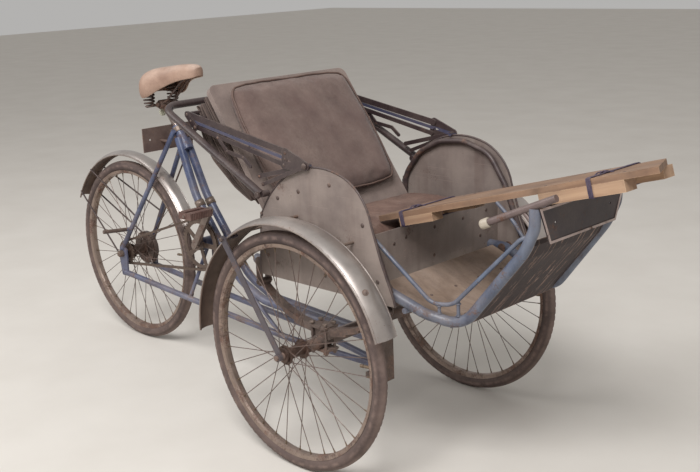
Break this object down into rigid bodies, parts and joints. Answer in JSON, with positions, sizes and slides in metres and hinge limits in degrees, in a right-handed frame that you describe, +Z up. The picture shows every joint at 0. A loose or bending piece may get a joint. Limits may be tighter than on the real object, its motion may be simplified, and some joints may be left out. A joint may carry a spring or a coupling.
{
  "type": "cycle rickshaw",
  "caption": "Pedal-driven passenger tricycle with a seat box between the front wheels, folded canvas hood, foot plank and a sprung saddle behind.",
  "frame": {"origin": "on the ground under the middle of the whole vehicle's box", "axes": "+X forward, from the rider towards the passenger's foot plank; +Y to the vehicle's left; +Z up"},
  "size_m": [2.5125, 0.872, 1.036],
  "materials": {
    "tyre_rubber": "dusty, worn",
    "rim_steel": "rusty, dull",
    "frame_paint": "worn satin",
    "guard_paint": "worn satin",
    "box_paint": "worn satin",
    "dark_steel": "dull",
    "bright_steel": "dull",
    "chain_steel": "oily",
    "dark_wood": "worn",
    "plank_wood": "bare",
    "seat_leather": "worn",
    "cushion_cloth": "matt",
    "hood_canvas": "matt",
    "plate_paint": "worn satin",
    "cord_cloth": "matt",
    "pedal_rubber": "worn"
  },
  "bodies": {
    "rear_frame": {"main_tubes": "frame_paint", "lower_rails": "frame_paint", "seat_stays": "frame_paint", "bottom_bracket": "frame_paint", "rear_axle": "bright_steel", "rear_mudguard": "guard_paint", "rear_mudguard_stays": "bright_steel", "rear_plate": "plate_paint", "seat_post": "bright_steel", "saddle": "seat_leather", "saddle_frame": "dark_steel", "brake_lever": "bright_steel", "brake_rod": "bright_steel", "chain": "chain_steel"},
    "front_carriage": {"axle_beam": "dark_steel", "kingpin_bracket": "dark_steel", "leaf_springs": "dark_steel", "spring_hangers": "dark_steel", "side_tubes": "frame_paint", "cross_tubes": "frame_paint", "foot_rails": "frame_paint", "footwell_floor": "plank_wood", "front_board": "dark_wood", "front_plate": "plate_paint", "grab_rods": "frame_paint", "side_panel_left": "box_paint", "side_panel_right": "box_paint", "armrest_hoops": "box_paint", "seat_front_panel": "box_paint", "seat_bearers": "dark_wood", "seat_board": "dark_wood", "seat_cushion": "cushion_cloth", "backrest_board": "dark_wood", "backrest_cushion": "cushion_cloth", "hood_arms": "dark_steel", "hood_bows": "dark_steel", "folded_hood": "hood_canvas", "push_bar": "frame_paint", "foot_plank": "plank_wood", "plank_battens": "plank_wood", "plank_lashings": "cord_cloth", "front_mudguard_left": "guard_paint", "front_mudguard_right": "guard_paint", "front_wheel_stays": "frame_paint", "mudguard_bolts": "bright_steel"},
    "front_wheel_left": {"front_left_tyre": "tyre_rubber", "front_left_wheel": "rim_steel"},
    "front_wheel_right": {"front_right_tyre": "tyre_rubber", "front_right_wheel": "rim_steel"},
    "rear_wheel": {"rear_tyre": "tyre_rubber", "rear_wheel": "rim_steel", "rear_sprocket": "chain_steel", "brake_drum": "bright_steel"},
    "cranks": {"cranks": "bright_steel", "chainring": "bright_steel"},
    "pedal_left": {"pedal_left": "pedal_rubber"},
    "pedal_right": {"pedal_right": "pedal_rubber"}
  },
  "joints": [
    {"name": "steering", "type": "hinge", "parent": "rear_frame", "child": "front_carriage", "pos_m": [0.2714, 0, 0.221], "axis": [0, 0, 1], "range_deg": [-35, 35]},
    {"name": "front_left_spin", "type": "hinge", "parent": "front_carriage", "child": "front_wheel_left", "pos_m": [0.3164, 0.37, 0.333], "axis": [0, 1, 0], "continuous": true},
    {"name": "front_right_spin", "type": "hinge", "parent": "front_carriage", "child": "front_wheel_right", "pos_m": [0.3164, -0.37, 0.333], "axis": [0, 1, 0], "continuous": true},
    {"name": "rear_spin", "type": "hinge", "parent": "rear_frame", "child": "rear_wheel", "pos_m": [-0.9316, 0, 0.333], "axis": [0, 1, 0], "continuous": true},
    {"name": "crank_spin", "type": "hinge", "parent": "rear_frame", "child": "cranks", "pos_m": [-0.4876, 0, 0.433], "axis": [0, 1, 0], "continuous": true},
    {"name": "right_pedal_spin", "type": "hinge", "parent": "cranks", "child": "pedal_right", "pos_m": [-0.39296, -0.128, 0.56816], "axis": [0, 1, 0], "continuous": true},
    {"name": "left_pedal_spin", "type": "hinge", "parent": "cranks", "child": "pedal_left", "pos_m": [-0.58224, 0.128, 0.29784], "axis": [0, 1, 0], "continuous": true}
  ],
  "couplings": [
    {"joint": "crank_spin", "follows": "rear_spin", "ratio": 0.45454}
  ]
}
